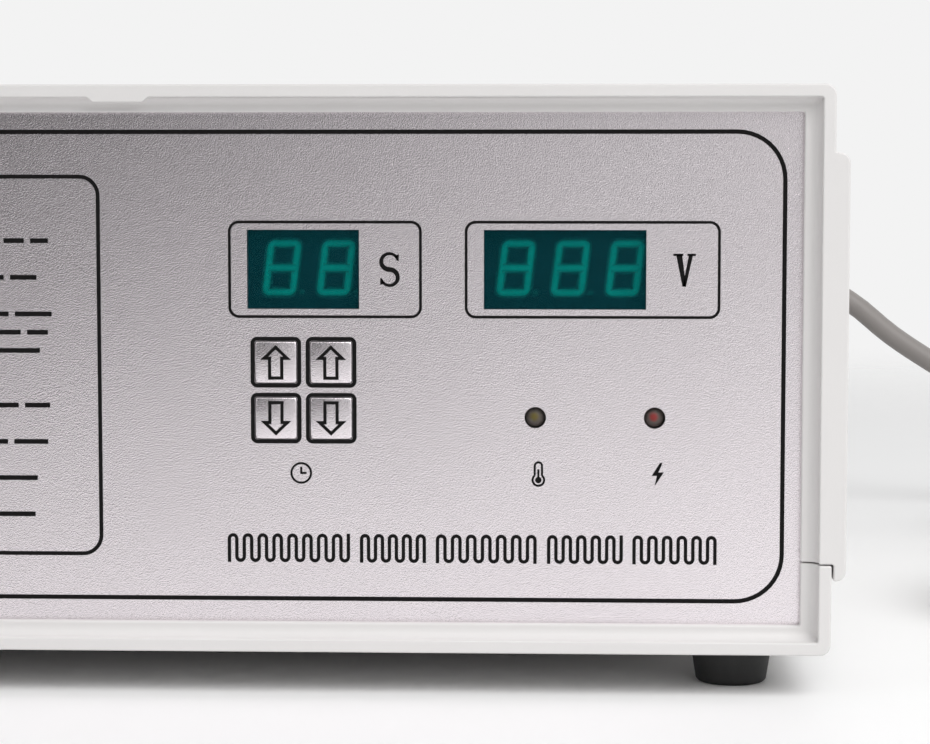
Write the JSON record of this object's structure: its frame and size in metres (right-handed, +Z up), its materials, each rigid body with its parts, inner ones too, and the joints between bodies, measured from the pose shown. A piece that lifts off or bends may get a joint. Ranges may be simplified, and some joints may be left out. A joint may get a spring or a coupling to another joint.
{
  "type": "induction cap sealer",
  "caption": "Bench-top induction sealer: a flat plastic case with a recessed key and display panel, a rear fan and mains inlet, and a corded hand-held round sealing head.",
  "frame": {"origin": "centre of the four feet of the case, on the bench", "axes": "+X to the right seen from the front, the front panel faces -Y, +Z up"},
  "size_m": [0.5366, 0.4302, 0.1419],
  "materials": {
    "case_plastic": "fine-grained off-white moulding",
    "foot_rubber": "matt black rubber",
    "screw_steel": "zinc-plated steel",
    "plate_metal": "plain aluminium sheet",
    "panel_film": "silver-grey grained film",
    "panel_ink": "black print",
    "window_tint": "tinted clear plastic",
    "display_face": "dark display module",
    "key_film": "embossed silver film",
    "black_plastic": "black moulding",
    "amber_lamp": "dull amber lens",
    "red_lamp": "dull red lens",
    "board_green": "green lacquered board",
    "brass": "turned brass",
    "guard_wire": "bright plated guard",
    "fuse_glass": "clear glass tube",
    "sink_metal": "extruded aluminium",
    "capacitor_sleeve": "dark blue sleeve",
    "capacitor_box": "pale yellow box",
    "copper_wire": "enamelled copper",
    "core_steel": "stacked steel sheets",
    "ferrite": "dark sintered ferrite",
    "head_plastic": "fine-grained off-white moulding",
    "face_board": "pale heat-proof board",
    "button_red": "red button",
    "cord_sheath": "soft grey sheath"
  },
  "bodies": {
    "case": {"top_cover": "case_plastic", "bottom_tray": "case_plastic", "foot_front_left": "foot_rubber", "foot_front_right": "foot_rubber", "foot_rear_left": "foot_rubber", "foot_rear_right": "foot_rubber", "case_screws": "screw_steel", "board_screws": "screw_steel", "fan_screws": "screw_steel", "inlet_screws": "screw_steel", "grip_screws": "screw_steel", "front_plate": "plate_metal", "rear_plate": "plate_metal", "front_film": "panel_film", "panel_print": "panel_ink", "time_window": "window_tint", "volt_window": "window_tint", "time_display": "display_face", "volt_display": "display_face", "key_switches": "black_plastic", "fan_frame": "black_plastic", "mains_inlet": "black_plastic", "switch_frame": "black_plastic", "fuse_holder": "black_plastic", "transistors": "black_plastic", "rectifier_bridge": "black_plastic", "seal_switch": "black_plastic", "heat_lamp": "amber_lamp", "current_lamp": "red_lamp", "control_board": "board_green", "power_board": "board_green", "control_spacers": "brass", "inlet_pins": "brass", "fan_guard": "guard_wire", "fuse": "fuse_glass", "heat_sink": "sink_metal", "storage_capacitors": "capacitor_sleeve", "resonance_capacitors": "capacitor_box", "filter_choke": "copper_wire", "transformer_winding": "copper_wire", "induction_coil": "copper_wire", "transformer_core": "core_steel", "ferrite_bars": "ferrite", "head_upper_shell": "head_plastic", "head_lower_shell": "head_plastic", "sealing_face": "face_board", "case_boot": "cord_sheath", "head_boot": "cord_sheath", "cord_lead": "cord_sheath", "cord_coil": "cord_sheath", "cord_tail": "cord_sheath"},
    "tens_up": {"tens_up_key": "key_film"},
    "units_up": {"units_up_key": "key_film"},
    "tens_down": {"tens_down_key": "key_film"},
    "units_down": {"units_down_key": "key_film"},
    "rocker": {"power_rocker": "black_plastic"},
    "rotor": {"fan_rotor": "black_plastic"},
    "fuse_top": {"fuse_cap": "black_plastic"},
    "button": {"seal_button": "button_red"}
  },
  "joints": [
    {"name": "tens_up_press", "type": "slide", "parent": "case", "child": "tens_up", "axis": [0, 1, 0], "range_m": [0, 0.0004], "stiffness_N_per_m": 1500},
    {"name": "units_up_press", "type": "slide", "parent": "case", "child": "units_up", "axis": [0, 1, 0], "range_m": [0, 0.0004], "stiffness_N_per_m": 1500},
    {"name": "tens_down_press", "type": "slide", "parent": "case", "child": "tens_down", "axis": [0, 1, 0], "range_m": [0, 0.0004], "stiffness_N_per_m": 1500},
    {"name": "units_down_press", "type": "slide", "parent": "case", "child": "units_down", "axis": [0, 1, 0], "range_m": [0, 0.0004], "stiffness_N_per_m": 1500},
    {"name": "power_rock", "type": "hinge", "parent": "case", "child": "rocker", "pos_m": [0.0208, 0.1266, 0.09815], "axis": [1, 0, 0], "range_deg": [-18, 0]},
    {"name": "fan_spin", "type": "hinge", "parent": "case", "child": "rotor", "pos_m": [-0.0862, 0.11, 0.07615], "axis": [0, 1, 0], "continuous": true},
    {"name": "fuse_turn", "type": "hinge", "parent": "case", "child": "fuse_top", "pos_m": [0.0638, 0.1286, 0.05415], "axis": [0, 1, 0], "range_deg": [0, 60]},
    {"name": "seal_press", "type": "slide", "parent": "case", "child": "button", "axis": [0, 0, -1], "range_m": [0, 0.0025], "stiffness_N_per_m": 600, "springref_m": -0.001}
  ]
}
